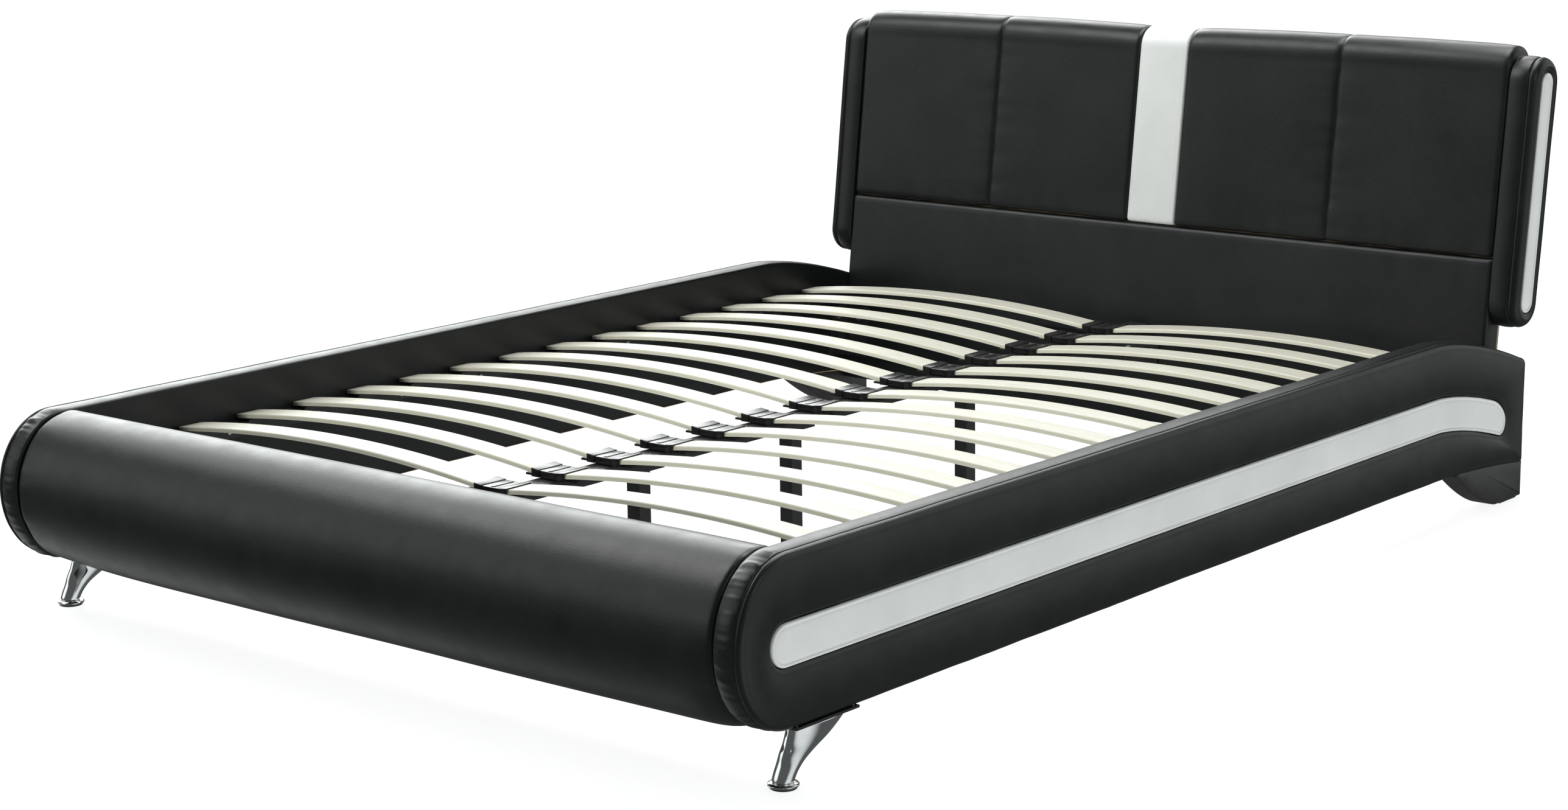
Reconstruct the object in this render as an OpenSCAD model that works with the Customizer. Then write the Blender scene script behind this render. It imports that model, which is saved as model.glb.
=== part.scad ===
// Low upholstered platform bed with a roll foot, leaning headboard and sprung slats.
// Millimetres, +Z up. The foot end faces -Y and the headboard is at +Y.
// The origin is the middle of the bed's outline, at floor level.

/* [Mattress] */
// Width of the mattress that the frame takes
mattress_w = 1524; // [1370:1:1830]
// Length of the mattress that the frame takes
mattress_l = 2032; // [1880:1:2130]
// Gap between the mattress and the upholstery on each side
mattress_gap = 8; // [4:1:15]

/* [Side rails] */
// Height of the rail's lower edge above the floor
rail_low_z = 90; // [85:1:110]
// Height of the rail's upper edge above the floor
rail_top_z = 346; // [335:1:370]
// Thickness of an upholstered side rail
rail_t = 50; // [45:1:60]
// Thickness of the foam and cover around the rail's board
rail_pad = 12; // [8:1:14]
// How far the upper edge falls towards the head end
rail_fall = 79; // [0:1:90]
// Width of the pale stripe along the rail
stripe_w = 65; // [40:1:80]

/* [Foot end] */
// Depth of the padded roll, front to back
roll_depth = 180; // [150:1:200]
// Thickness of the roll's padding
roll_pad = 14; // [8:1:20]
// Diameter of a front glide
glide_d = 46; // [40:1:60]

/* [Headboard] */
// Backward lean of the headboard in degrees
head_tilt = 7.5; // [0:0.5:12]
// Length of the headboard above its hinge line, along its slope
head_rise = 530; // [480:1:560]
// Thickness of the upper, padded part
head_t = 84; // [76:1:100]
// Depth of a side wing, front to back
wing_d = 96; // [90:1:110]
// Thickness of a side wing
wing_t = 57; // [40:1:70]

/* [Slats] */
// Width of a slat
slat_w = 52; // [45:1:60]
// Thickness of a slat
slat_t = 8; // [6:1:10]
// Rise of a slat's bow at the middle of its length
slat_crown = 24; // [10:1:30]

/* [Hidden] */
slat_rows = 14;
$fn = 48;

// Colours
black_leather = [0.14, 0.15, 0.15];
white_leather = [0.82, 0.85, 0.84];
black_steel = [0.10, 0.10, 0.11];
black_plastic = [0.06, 0.06, 0.06];
bright_metal = [0.80, 0.82, 0.83];
slat_wood = [0.93, 0.92, 0.85];
board_wood = [0.72, 0.60, 0.44];
dust_cloth = [0.20, 0.20, 0.21];

// Overall places
inner_half = mattress_w / 2 + mattress_gap;
recess_l = mattress_l + mattress_gap;
slat_end_top_z = 274;
pivot_z = slat_end_top_z + 55;
wing_low_v = 8;
wing_high_v = head_rise - 14;
wing_mid_w = 44;
wing_half = wing_d / 2;
pivot_from_recess = 55 * tan(head_tilt);
rear_reach = (wing_high_v - wing_half) * sin(head_tilt) + wing_mid_w * cos(head_tilt) + wing_half;
overall_l = roll_depth + recess_l + pivot_from_recess + rear_reach;
front_y = -overall_l / 2;
recess_y0 = front_y + roll_depth;
recess_y1 = recess_y0 + recess_l;
pivot_y = recess_y1 + pivot_from_recess;

// Side rail outline, seen from the side
end_ry = 110;
end_rz = (rail_top_z - rail_low_z) / 2;
end_y = front_y + end_ry;
end_z = rail_low_z + end_rz;
rail_rear_y = recess_y1 + 75;
bend_y = rail_rear_y - 345;
rail_low_fall = 0.32 * rail_fall;
core_x1 = inner_half + rail_t - 18;
outer_x = inner_half + rail_t;
stripe_mid_z = end_z - 3;
stripe_y0 = front_y + 68;
stripe_y1 = rail_rear_y - 79;
stripe_depth = 4;

// How far the roll's top comes down to its flat back
roll_back_drop = 75;

// Head feet
foot_y0 = rail_rear_y - 260;
foot_sweep = 161;
pad_h = 3;

// Headboard sections
core_half = inner_half - 3;
lower_core_w0 = 14;
skin = 2;
bracket_w = lower_core_w0 - skin;
lower_core_w1 = 52;
upper_pad_t = 14;
bracket_notch_v = -76;
seam_v = 136;
top_front_r = 42;
core_low_v = -268;
lower_pad_low_v = -100;
strip_half = 56;
wing_in_x = core_half;
wing_out_x = wing_in_x + wing_t;
inlay_w = 43;
inlay_inset = 28;

// Front legs
leg_x = inner_half + rail_t / 2;
leg_y = front_y + 116;
plate_t = 4;
plate_y = front_y + 192;
leg_top_z = rail_low_z - plate_t;
leg_low_z = 9.5;
stud_r = 4;
stud_fit = 0.05;
leg_screw_dx = 16;
leg_screw_dy = 63;
screw_r = 2.2;
screw_head_r = 4;
screw_head_h = 2.5;

// Centre support
rail_w = 44;
rail_h = 20;
rail_wall = 2;
rail_z1 = slat_end_top_z - slat_t - 4;
rail_z0 = rail_z1 - rail_h;
support_y = [-493, -93, 426];
post_w = 28;
post_low_z = 8.5;
support_bolt_dy = 30;

// Slats
slat_y0 = front_y + 350;
slat_pitch = 131.7;
slat_in_x = 24;
slat_out_x = inner_half - 3;
slat_low_z = slat_end_top_z - slat_t;
ledge_z1 = slat_low_z - 3;
ledge_leg = 30;
ledge_t = 3;
ledge_y0 = recess_y0 + 12;
ledge_y1 = recess_y1 - 28;
ledge_screw_n = 10;

// Corner brackets
bracket_t = 4;
bracket_leg = 60;
foot_bracket_z = 110;
bracket_h = 110;
bolt_r = 4;
bolt_reach = 18;

// ---------- outlines ----------
function fall(y) = y <= bend_y ? 0 : pow((y - bend_y) / (rail_rear_y - bend_y), 1.6);
function rail_upper(y, inset) = rail_top_z - inset - rail_fall * fall(y);
function bend_steps(y_end, n = 10) = [for (i = [0:n]) bend_y + (y_end - bend_y) * i / n];

// The lower edge is a chain of straight pieces, so that the board, the cover and the foot share it
knots = 10;
function knot_y(i) = bend_y + (rail_rear_y - bend_y) * i / knots;
function chain_fall(y) = let (
    u = max(0, (y - knot_y(0)) / (knot_y(1) - knot_y(0))),
    i = min(floor(u), knots - 1))
    fall(knot_y(i)) + (u - i) * (fall(knot_y(i + 1)) - fall(knot_y(i)));
function rail_lower(y, inset) = rail_low_z + inset - rail_low_fall * chain_fall(y);
function low_steps(y_end) = [for (i = [0:knots]) if (i == 0 || knot_y(i - 1) < y_end) min(knot_y(i), y_end)];
function front_arc(ry, rz, n = 32) =
    [for (i = [0:n]) [end_y + ry * cos(270 - 180 * i / n), end_z + rz * sin(270 - 180 * i / n)]];
function reversed(list) = [for (i = [len(list) - 1:-1:0]) list[i]];

// Whole side outline of a rail, drawn inset from its cover's surface
function rail_outline(inset) = concat(
    reversed([for (y = low_steps(rail_rear_y - inset)) [y, rail_lower(y, inset)]]),
    front_arc(end_ry - inset, end_rz - inset),
    [for (y = bend_steps(rail_rear_y - inset)) [y, rail_upper(y, inset)]]);

// Outline of a rail's board, padded at the front, top and rear but not underneath
function board_outline(inset, drop = 0) = concat(
    reversed([for (y = low_steps(rail_rear_y - inset)) [y, rail_lower(y, -drop)]]),
    [[end_y, rail_low_z - drop]],
    front_arc(end_ry - inset, end_rz - inset),
    [for (y = bend_steps(rail_rear_y - inset)) [y, rail_upper(y, inset)]]);

// The stripe runs level and then falls with the rail's upper edge
function stripe_outline(w) = concat(
    reversed([for (y = bend_steps(stripe_y1 - w / 3)) [y, stripe_mid_z - w / 2 - rail_fall * fall(y)]]),
    [for (i = [0:16]) [stripe_y0 + w / 2 + w / 2 * cos(270 - 180 * i / 16),
        stripe_mid_z + w / 2 * sin(270 - 180 * i / 16)]],
    [for (y = bend_steps(stripe_y1 - w / 3)) [y, stripe_mid_z + w / 2 - rail_fall * fall(y)]],
    [for (i = [1:7]) [stripe_y1 - w / 3 + w / 3 * sin(180 * i / 8),
        stripe_mid_z + w / 2 * cos(180 * i / 8) - rail_fall * fall(stripe_y1 - w / 3)]]);

// Swept front edge and flat base of a head foot, under the rail's lower edge
foot_steps = [for (i = [1:12]) i / 12];
function foot_outline() = concat(
    [for (t = foot_steps) let (y = foot_y0 + foot_sweep * t)
        [y, pad_h + (rail_lower(y, 0) - pad_h) * pow(1 - t, 1.34)]],
    [[rail_rear_y, pad_h]],
    reversed([for (i = [1:knots]) let (y = max(knot_y(i), foot_y0)) [y, rail_lower(y, 0)]]));

// Section of the foot roll: half-round in front, then rounded down to a flat back
function roll_outline(inset, back = 0) = concat(
    [[recess_y0 - back, rail_low_z + 2 + inset]],
    front_arc(end_ry - 2 - inset, end_rz - 2 - inset),
    [for (i = [1:16]) [end_y + (roll_depth - end_ry - back) * sin(90 * i / 16),
        rail_top_z - 2 - roll_back_drop + (roll_back_drop - inset) * cos(90 * i / 16)]]);

// Section of the headboard's upper part; the lower end is open
function upper_outline(inset, low_v = seam_v) = let (r0 = top_front_r - inset, r1 = 34 - inset, n = 8)
    concat(
        [[inset, low_v]],
        [for (i = [0:n]) [top_front_r - r0 * cos(90 * i / n),
            head_rise - top_front_r + r0 * sin(90 * i / n)]],
        [for (i = [0:n]) [head_t - 34 + r1 * sin(90 * i / n), head_rise - 34 + r1 * cos(90 * i / n)]],
        [[head_t - inset, low_v]]);

// ---------- shared shapes ----------
module along_x(x0, x1) {
    translate([x0, 0, 0]) rotate([90, 0, 90]) linear_extrude(x1 - x0) children();
}

module head_frame() {
    translate([0, pivot_y, pivot_z]) rotate([-head_tilt, 0, 0]) children();
}

module stadium(mid_w, low_v, high_v, width) {
    translate([mid_w - width / 2, low_v + width / 2]) square([width, high_v - low_v - width]);
    translate([mid_w, low_v + width / 2]) circle(d = width, $fn = 64);
    translate([mid_w, high_v - width / 2]) circle(d = width, $fn = 64);
}

module box(x0, x1, y0, y1, z0, z1) {
    translate([x0, y0, z0]) cube([x1 - x0, y1 - y0, z1 - z0]);
}

module x_rod(x0, x1, y, z, r) {
    translate([x0, y, z]) rotate([0, 90, 0]) cylinder(h = x1 - x0, r = r);
}

module y_rod(y0, y1, x, z, r) {
    translate([x, y1, z]) rotate([90, 0, 0]) cylinder(h = y1 - y0, r = r);
}

module both_sides() {
    children();
    mirror([1, 0, 0]) children();
}

// ---------- headboard ----------
module headboard_core() {
    color(board_wood) difference() {
        head_frame() along_x(-core_half, core_half) {
            translate([lower_core_w0, core_low_v])
                square([lower_core_w1 - lower_core_w0, seam_v - core_low_v]);
            polygon(upper_outline(upper_pad_t, seam_v - 1));
        }
        both_sides() head_bracket_bolts_back();
        both_sides() head_shelf_bolts();
    }
}

module headboard_lower_pad() {
    r = lower_core_w0 / 2;
    color(black_leather) difference() {
        head_frame() along_x(-core_half, core_half) {
            translate([bracket_w, core_low_v]) square([skin, seam_v - 2 - core_low_v]);
            translate([0, lower_pad_low_v]) square([lower_core_w0, seam_v - 2 - r - lower_pad_low_v]);
            translate([r, lower_pad_low_v]) square([lower_core_w0 - r, seam_v - 2 - lower_pad_low_v]);
            translate([r, seam_v - 2 - r]) circle(r = r);
        }
        head_frame() box(-42, 42, -1, bracket_w, lower_pad_low_v - 1, bracket_notch_v);
        both_sides() head_bracket_bolts_back();
        both_sides() head_shelf_bolts();
    }
}

module upper_shell(x0, x1) {
    head_frame() along_x(x0, x1) difference() {
        polygon(upper_outline(0));
        polygon(upper_outline(upper_pad_t));
        translate([upper_pad_t, seam_v - 1]) square([head_t - 2 * upper_pad_t, 2]);
    }
}

module headboard_upper_pad(side) {
    color(black_leather)
        upper_shell(side < 0 ? -core_half : strip_half, side < 0 ? -strip_half : core_half);
}

module headboard_centre_strip() {
    color(white_leather) upper_shell(-strip_half, strip_half);
}

module headboard_back_cover() {
    color(dust_cloth) head_frame() along_x(-core_half, core_half)
        translate([lower_core_w1, core_low_v]) square([2, seam_v - 2 - core_low_v]);
}

module headboard_wing_right() {
    color(black_leather) head_frame() difference() {
        along_x(wing_in_x, wing_out_x) stadium(wing_mid_w, wing_low_v, wing_high_v, wing_d);
        along_x(wing_out_x - 3, wing_out_x + 1) inlay_shape();
    }
}

module inlay_shape() {
    stadium(wing_mid_w + 3, wing_low_v + inlay_inset, wing_high_v - inlay_inset, inlay_w);
}

module wing_inlay_right() {
    color(white_leather) head_frame() along_x(wing_out_x - 3, wing_out_x) inlay_shape();
}

// ---------- side rails ----------
module rail_screw_holes() {
    for (dx = [-leg_screw_dx, leg_screw_dx], dy = [-leg_screw_dy, leg_screw_dy])
        translate([leg_x + dx, plate_y + dy, rail_low_z - 1]) cylinder(h = 26, r = screw_r);
}

module side_rail_core_right() {
    color(board_wood) difference() {
        along_x(inner_half + skin, core_x1) polygon(board_outline(rail_pad));
        rail_screw_holes();
        ledge_screw_shanks();
        foot_bracket_bolts_side();
        head_bracket_bolts_side();
    }
}

module side_rail_cover_right() {
    color(black_leather) difference() {
        along_x(inner_half, outer_x) polygon(rail_outline(0));
        along_x(inner_half + skin, core_x1) polygon(board_outline(rail_pad, 1));
        along_x(outer_x - stripe_depth, outer_x + 1) polygon(stripe_outline(stripe_w));
        rail_screw_holes();
        ledge_screw_shanks();
        foot_bracket_bolts_side();
        head_bracket_bolts_side();
    }
}

module side_rail_stripe_right() {
    color(white_leather)
        along_x(outer_x - stripe_depth, outer_x + 1) polygon(stripe_outline(stripe_w));
}

module head_foot_right() {
    color(black_plastic) along_x(inner_half + 3, outer_x - 3) polygon(foot_outline());
}

module head_foot_pads() {
    color(black_plastic) both_sides()
        box(inner_half + 8, outer_x - 8, rail_rear_y - 76, rail_rear_y - 12, 0, pad_h);
}

// ---------- footboard ----------
module footboard_back_board() {
    color(board_wood) difference() {
        box(-core_half, core_half, recess_y0 - skin - 18, recess_y0 - skin,
            rail_low_z + 2 + roll_pad, rail_top_z - 2 - roll_back_drop);
        both_sides() foot_bracket_bolts_back();
        both_sides() foot_shelf_bolts();
    }
}

module footboard_ribs() {
    color(board_wood) for (i = [-3:3]) difference() {
        along_x(i * (core_half - 9) / 3 - 9, i * (core_half - 9) / 3 + 9)
            polygon(roll_outline(roll_pad, skin));
        box(-outer_x, outer_x, recess_y0 - skin - 18, recess_y0 + 1, 0, rail_top_z);
    }
}

module footboard_roll_pad() {
    color(black_leather) difference() {
        along_x(-core_half, core_half) difference() {
            polygon(roll_outline(0));
            polygon(roll_outline(roll_pad, skin));
        }
        both_sides() foot_bracket_bolts_back();
        both_sides() foot_shelf_bolts();
    }
}

// ---------- front legs ----------
// Each row: height, middle along Y from leg_y, half width across, half length along Y
leg_sections = [
    [leg_low_z, 1, 16, 17],
    [34, 17, 17, 22],
    [48, 34, 18, 35],
    [60, 53, 19, 47],
    [73, 67, 20, 56],
    [leg_top_z, 77, 22, 62]];

module leg_loft(sections, sides = 28) {
    rings = len(sections);
    points = [for (s = sections, i = [0:sides - 1])
        [leg_x + s[2] * cos(360 * i / sides), leg_y + s[1] + s[3] * sin(360 * i / sides), s[0]]];
    walls = [for (k = [0:rings - 2], i = [0:sides - 1]) let (j = (i + 1) % sides)
        [(k + 1) * sides + i, (k + 1) * sides + j, k * sides + j, k * sides + i]];
    base = [for (i = [0:sides - 1]) i];
    top = [for (i = [sides - 1:-1:0]) (rings - 1) * sides + i];
    polyhedron(points, concat([base], walls, [top]));
}

module front_leg_right() {
    color(bright_metal) difference() {
        leg_loft(leg_sections);
        translate([leg_x, leg_y + 2, leg_low_z - 1]) cylinder(h = 20, r = stud_r + stud_fit);
    }
}

module leg_plates() {
    color(black_steel) both_sides() difference() {
        box(leg_x - 23, leg_x + 23, plate_y - 70, plate_y + 70, leg_top_z, rail_low_z);
        for (dx = [-leg_screw_dx, leg_screw_dx], dy = [-leg_screw_dy, leg_screw_dy])
            translate([leg_x + dx, plate_y + dy, leg_top_z - 1]) {
                cylinder(h = plate_t + 2, r = screw_r);
                cylinder(h = screw_head_h + 1, r = screw_head_r);
            }
    }
}

module leg_plate_screws() {
    color(bright_metal) both_sides()
        for (dx = [-leg_screw_dx, leg_screw_dx], dy = [-leg_screw_dy, leg_screw_dy])
            translate([leg_x + dx, plate_y + dy, leg_top_z]) {
                cylinder(h = 24, r = screw_r);
                cylinder(h = screw_head_h, r = screw_head_r);
            }
}

module leg_glide_right() {
    color(bright_metal) translate([leg_x, leg_y + 2, 0]) {
        cylinder(h = 3, d = glide_d - 8);
        translate([0, 0, 3]) cylinder(h = 6, d = glide_d);
        cylinder(h = 27, r = stud_r);
    }
}

// ---------- centre support ----------
module centre_rail() {
    color(black_steel) difference() {
        box(-rail_w / 2, rail_w / 2, recess_y0 + 4, recess_y1 - 8, rail_z0, rail_z1);
        box(-rail_w / 2 + rail_wall, rail_w / 2 - rail_wall, recess_y0, recess_y1,
            rail_z0 + rail_wall, rail_z1 - rail_wall);
        support_bolt_shanks();
    }
}

module centre_rail_brackets() {
    color(black_steel) {
        difference() {
            union() {
                box(-40, 40, recess_y0, recess_y0 + bracket_t, rail_z0 - 44, rail_z1);
                box(-rail_w / 2, rail_w / 2, recess_y0 + 3, recess_y0 + 60, rail_z0 - 4, rail_z0);
            }
            both_sides() foot_shelf_bolts();
        }
        difference() {
            union() {
                head_frame() box(-40, 40, bracket_w - bracket_t, bracket_w, -150, bracket_notch_v - 2);
                box(-rail_w / 2, rail_w / 2, recess_y1 - 64, recess_y1 + 14, rail_z0 - 4, rail_z0);
            }
            head_frame() box(-60, 60, bracket_w, bracket_w + 60, -200, 200);
            both_sides() head_shelf_bolts();
        }
    }
}

module foot_shelf_bolts() {
    y_rod(recess_y0 - 14, recess_y0 + bracket_t, 28, rail_z0 - 24, bolt_r);
}

module head_shelf_bolts() {
    head_frame() y_rod(bracket_w - bracket_t, bracket_w + bolt_reach, 28, -125, bolt_r);
}

module support_bolt_shanks() {
    for (y = support_y, dy = [-support_bolt_dy, support_bolt_dy])
        translate([0, y + dy, rail_z0 - 4]) cylinder(h = 12, r = 3);
}

module centre_leg(y) {
    color(black_steel) difference() {
        union() {
            box(-post_w / 2, post_w / 2, y - post_w / 2, y + post_w / 2, post_low_z, rail_z0 - 4);
            box(-rail_w / 2, rail_w / 2, y - 42, y + 42, rail_z0 - 4, rail_z0);
        }
        box(-post_w / 2 + 2, post_w / 2 - 2, y - post_w / 2 + 2, y + post_w / 2 - 2, 40, rail_z0 - 6);
        translate([0, y, post_low_z - 1]) cylinder(h = 26, r = stud_r + stud_fit);
        support_bolt_shanks();
    }
}

module centre_leg_bolts() {
    color(bright_metal) {
        support_bolt_shanks();
        for (y = support_y, dy = [-support_bolt_dy, support_bolt_dy])
            translate([0, y + dy, rail_z0 - 8]) cylinder(h = 4, r = 5.5, $fn = 6);
    }
}

module centre_leg_glide(y) {
    color(black_plastic) translate([0, y, 0]) {
        cylinder(h = 8, d = 36);
        cylinder(h = 30, r = stud_r);
    }
}

// ---------- slats ----------
slat_span = slat_out_x - slat_in_x;
bow_r = slat_span * slat_span / (8 * slat_crown) + slat_crown / 2;
bow_half_angle = asin(slat_span / 2 / bow_r);
function bow(r, n = 24) = [for (i = [0:n]) let (a = bow_half_angle * (1 - 2 * i / n))
    [r * sin(a), r * cos(a)]];

module slat(y) {
    translate([(slat_in_x + slat_out_x) / 2, y + slat_w, slat_low_z + slat_crown - bow_r])
        rotate([90, 0, 0]) linear_extrude(slat_w)
            polygon(concat(bow(bow_r), reversed(bow(bow_r + slat_t))));
}

module slat_row(i) {
    color(slat_wood) both_sides() slat(slat_y0 + i * slat_pitch);
}

module slat_ledge_right() {
    color(black_steel) difference() {
        union() {
            box(inner_half - ledge_t, inner_half, ledge_y0, ledge_y1, ledge_z1 - ledge_leg, ledge_z1);
            box(inner_half - ledge_leg, inner_half, ledge_y0, ledge_y1, ledge_z1 - ledge_t, ledge_z1);
        }
        ledge_screw_shanks();
    }
}

module ledge_screw_shanks() {
    for (i = [0:ledge_screw_n - 1])
        x_rod(inner_half - ledge_t, inner_half + 22,
            ledge_y0 + 60 + i * (ledge_y1 - ledge_y0 - 120) / (ledge_screw_n - 1),
            ledge_z1 - ledge_leg / 2 - 4, screw_r);
}

module ledge_screws() {
    color(bright_metal) both_sides() {
        ledge_screw_shanks();
        for (i = [0:ledge_screw_n - 1])
            x_rod(inner_half - ledge_t - screw_head_h, inner_half - ledge_t,
                ledge_y0 + 60 + i * (ledge_y1 - ledge_y0 - 120) / (ledge_screw_n - 1),
                ledge_z1 - ledge_leg / 2 - 4, screw_head_r);
    }
}

module outer_slat_holders() {
    color(black_plastic) both_sides() for (i = [0:slat_rows - 1])
        box(inner_half - ledge_leg, inner_half, slat_y0 + i * slat_pitch + 4,
            slat_y0 + i * slat_pitch + slat_w - 4, ledge_z1, slat_low_z);
}

module centre_slat_caps() {
    color(black_plastic) for (i = [0:slat_rows - 1]) {
        y = slat_y0 + i * slat_pitch;
        box(-58, 58, y + 6, y + slat_w - 6, rail_z1, slat_low_z);
        box(-slat_in_x + 2, slat_in_x - 2, y - 1, y + slat_w + 1, slat_low_z - 0.01, slat_end_top_z + 1);
    }
}

// ---------- corner brackets ----------
module foot_bracket_bolts_side() {
    for (dz = [25, bracket_h - 25])
        x_rod(inner_half - bracket_t, inner_half + bolt_reach, recess_y0 + 38, foot_bracket_z + dz, bolt_r);
}

module foot_bracket_bolts_back() {
    for (dz = [25, bracket_h - 25])
        y_rod(recess_y0 - 14, recess_y0 + bracket_t, inner_half - 38, foot_bracket_z + dz, bolt_r);
}

module head_bracket_bolts_side() {
    head_frame() for (dv = [25, bracket_h - 25])
        x_rod(inner_half - bracket_t, inner_half + bolt_reach, bracket_w - 38, -220 + dv, bolt_r);
}

module head_bracket_bolts_back() {
    head_frame() for (dv = [25, bracket_h - 25])
        y_rod(bracket_w - bracket_t, bracket_w + bolt_reach, inner_half - 38, -220 + dv, bolt_r);
}

module foot_corner_brackets() {
    color(black_steel) both_sides() difference() {
        union() {
            box(inner_half - bracket_t, inner_half, recess_y0, recess_y0 + bracket_leg,
                foot_bracket_z, foot_bracket_z + bracket_h);
            box(inner_half - bracket_leg, inner_half, recess_y0, recess_y0 + bracket_t,
                foot_bracket_z, foot_bracket_z + bracket_h);
        }
        foot_bracket_bolts_side();
        foot_bracket_bolts_back();
    }
}

module head_corner_brackets() {
    color(black_steel) both_sides() difference() {
        head_frame() {
            box(inner_half - bracket_t, inner_half, bracket_w - bracket_leg, bracket_w,
                -220, -220 + bracket_h);
            box(inner_half - bracket_leg, inner_half, bracket_w - bracket_t, bracket_w,
                -220, -220 + bracket_h);
        }
        head_bracket_bolts_side();
        head_bracket_bolts_back();
    }
}

module bracket_bolts() {
    color(bright_metal) both_sides() {
        foot_bracket_bolts_side();
        foot_bracket_bolts_back();
        head_bracket_bolts_side();
        head_bracket_bolts_back();
        foot_shelf_bolts();
        head_shelf_bolts();
        y_rod(recess_y0 + bracket_t, recess_y0 + bracket_t + 5, 28, rail_z0 - 24, 7);
        head_frame() y_rod(bracket_w - bracket_t - 5, bracket_w - bracket_t, 28, -125, 7);
        for (dz = [25, bracket_h - 25]) {
            x_rod(inner_half - bracket_t - 5, inner_half - bracket_t, recess_y0 + 38,
                foot_bracket_z + dz, 7);
            y_rod(recess_y0 + bracket_t, recess_y0 + bracket_t + 5, inner_half - 38, foot_bracket_z + dz, 7);
            head_frame() {
                x_rod(inner_half - bracket_t - 5, inner_half - bracket_t, bracket_w - 38, -220 + dz, 7);
                y_rod(bracket_w - bracket_t - 5, bracket_w - bracket_t, inner_half - 38, -220 + dz, 7);
            }
        }
    }
}

// ---------- parts ----------
headboard_core();
headboard_lower_pad();
headboard_upper_pad(-1);  // headboard_upper_pad_left
headboard_upper_pad(1);  // headboard_upper_pad_right
headboard_centre_strip();
headboard_back_cover();
mirror([1, 0, 0]) headboard_wing_right();  // headboard_wing_left
headboard_wing_right();
mirror([1, 0, 0]) wing_inlay_right();  // wing_inlay_left
wing_inlay_right();
mirror([1, 0, 0]) side_rail_core_right();  // side_rail_core_left
side_rail_core_right();
mirror([1, 0, 0]) side_rail_cover_right();  // side_rail_cover_left
side_rail_cover_right();
mirror([1, 0, 0]) side_rail_stripe_right();  // side_rail_stripe_left
side_rail_stripe_right();
mirror([1, 0, 0]) head_foot_right();  // head_foot_left
head_foot_right();
head_foot_pads();
footboard_back_board();
footboard_ribs();
footboard_roll_pad();
mirror([1, 0, 0]) front_leg_right();  // front_leg_left
front_leg_right();
leg_plates();
leg_plate_screws();
mirror([1, 0, 0]) leg_glide_right();  // leg_glide_left
leg_glide_right();
centre_rail();
centre_rail_brackets();
centre_leg(support_y[0]);  // centre_leg_1
centre_leg(support_y[1]);  // centre_leg_2
centre_leg(support_y[2]);  // centre_leg_3
centre_leg_bolts();
centre_leg_glide(support_y[0]);  // centre_leg_glide_1
centre_leg_glide(support_y[1]);  // centre_leg_glide_2
centre_leg_glide(support_y[2]);  // centre_leg_glide_3
mirror([1, 0, 0]) slat_ledge_right();  // slat_ledge_left
slat_ledge_right();
ledge_screws();
outer_slat_holders();
centre_slat_caps();
head_corner_brackets();
foot_corner_brackets();
bracket_bolts();
slat_row(0);  // slat_row_01
slat_row(1);  // slat_row_02
slat_row(2);  // slat_row_03
slat_row(3);  // slat_row_04
slat_row(4);  // slat_row_05
slat_row(5);  // slat_row_06
slat_row(6);  // slat_row_07
slat_row(7);  // slat_row_08
slat_row(8);  // slat_row_09
slat_row(9);  // slat_row_10
slat_row(10);  // slat_row_11
slat_row(11);  // slat_row_12
slat_row(12);  // slat_row_13
slat_row(13);  // slat_row_14
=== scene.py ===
"""Looks for a low upholstered platform bed: padded leather, bowed slats, chrome legs, soft studio light.

Metres. The foot end faces -Y, the headboard is at +Y and the floor is z = 0.
"""
import math

import bmesh
import bpy
import numpy as np
from mathutils import Matrix, Vector, noise


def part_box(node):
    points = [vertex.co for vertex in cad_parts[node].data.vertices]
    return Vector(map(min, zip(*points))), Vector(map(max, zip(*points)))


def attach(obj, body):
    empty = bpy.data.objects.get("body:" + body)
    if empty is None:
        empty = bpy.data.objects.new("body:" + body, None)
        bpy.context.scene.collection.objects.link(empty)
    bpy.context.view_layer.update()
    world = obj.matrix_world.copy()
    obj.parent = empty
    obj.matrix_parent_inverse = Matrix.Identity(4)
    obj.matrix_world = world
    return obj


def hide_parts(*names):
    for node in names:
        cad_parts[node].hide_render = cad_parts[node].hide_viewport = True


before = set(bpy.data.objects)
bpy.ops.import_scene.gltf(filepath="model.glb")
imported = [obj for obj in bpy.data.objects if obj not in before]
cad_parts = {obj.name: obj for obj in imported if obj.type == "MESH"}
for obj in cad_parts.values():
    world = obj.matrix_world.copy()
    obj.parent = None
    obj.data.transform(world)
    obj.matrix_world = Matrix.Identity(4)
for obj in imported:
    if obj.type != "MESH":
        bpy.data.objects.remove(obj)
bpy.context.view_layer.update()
scene = bpy.context.scene
BED = "bed_frame"

# ---------- places, from the frame ----------
rail_lo, rail_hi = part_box("side_rail_cover_right")
roll_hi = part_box("footboard_roll_pad")[1]
stripe_lo, stripe_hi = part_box("side_rail_stripe_right")
RAIL_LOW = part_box("leg_plates")[1].z
RAIL_TOP = rail_hi.z
INNER_X = rail_lo.x
OUTER_X = rail_hi.x
REAR_Y = rail_hi.y
HEAD_HALF = roll_hi.x
RECESS_Y0 = roll_hi.y

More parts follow.
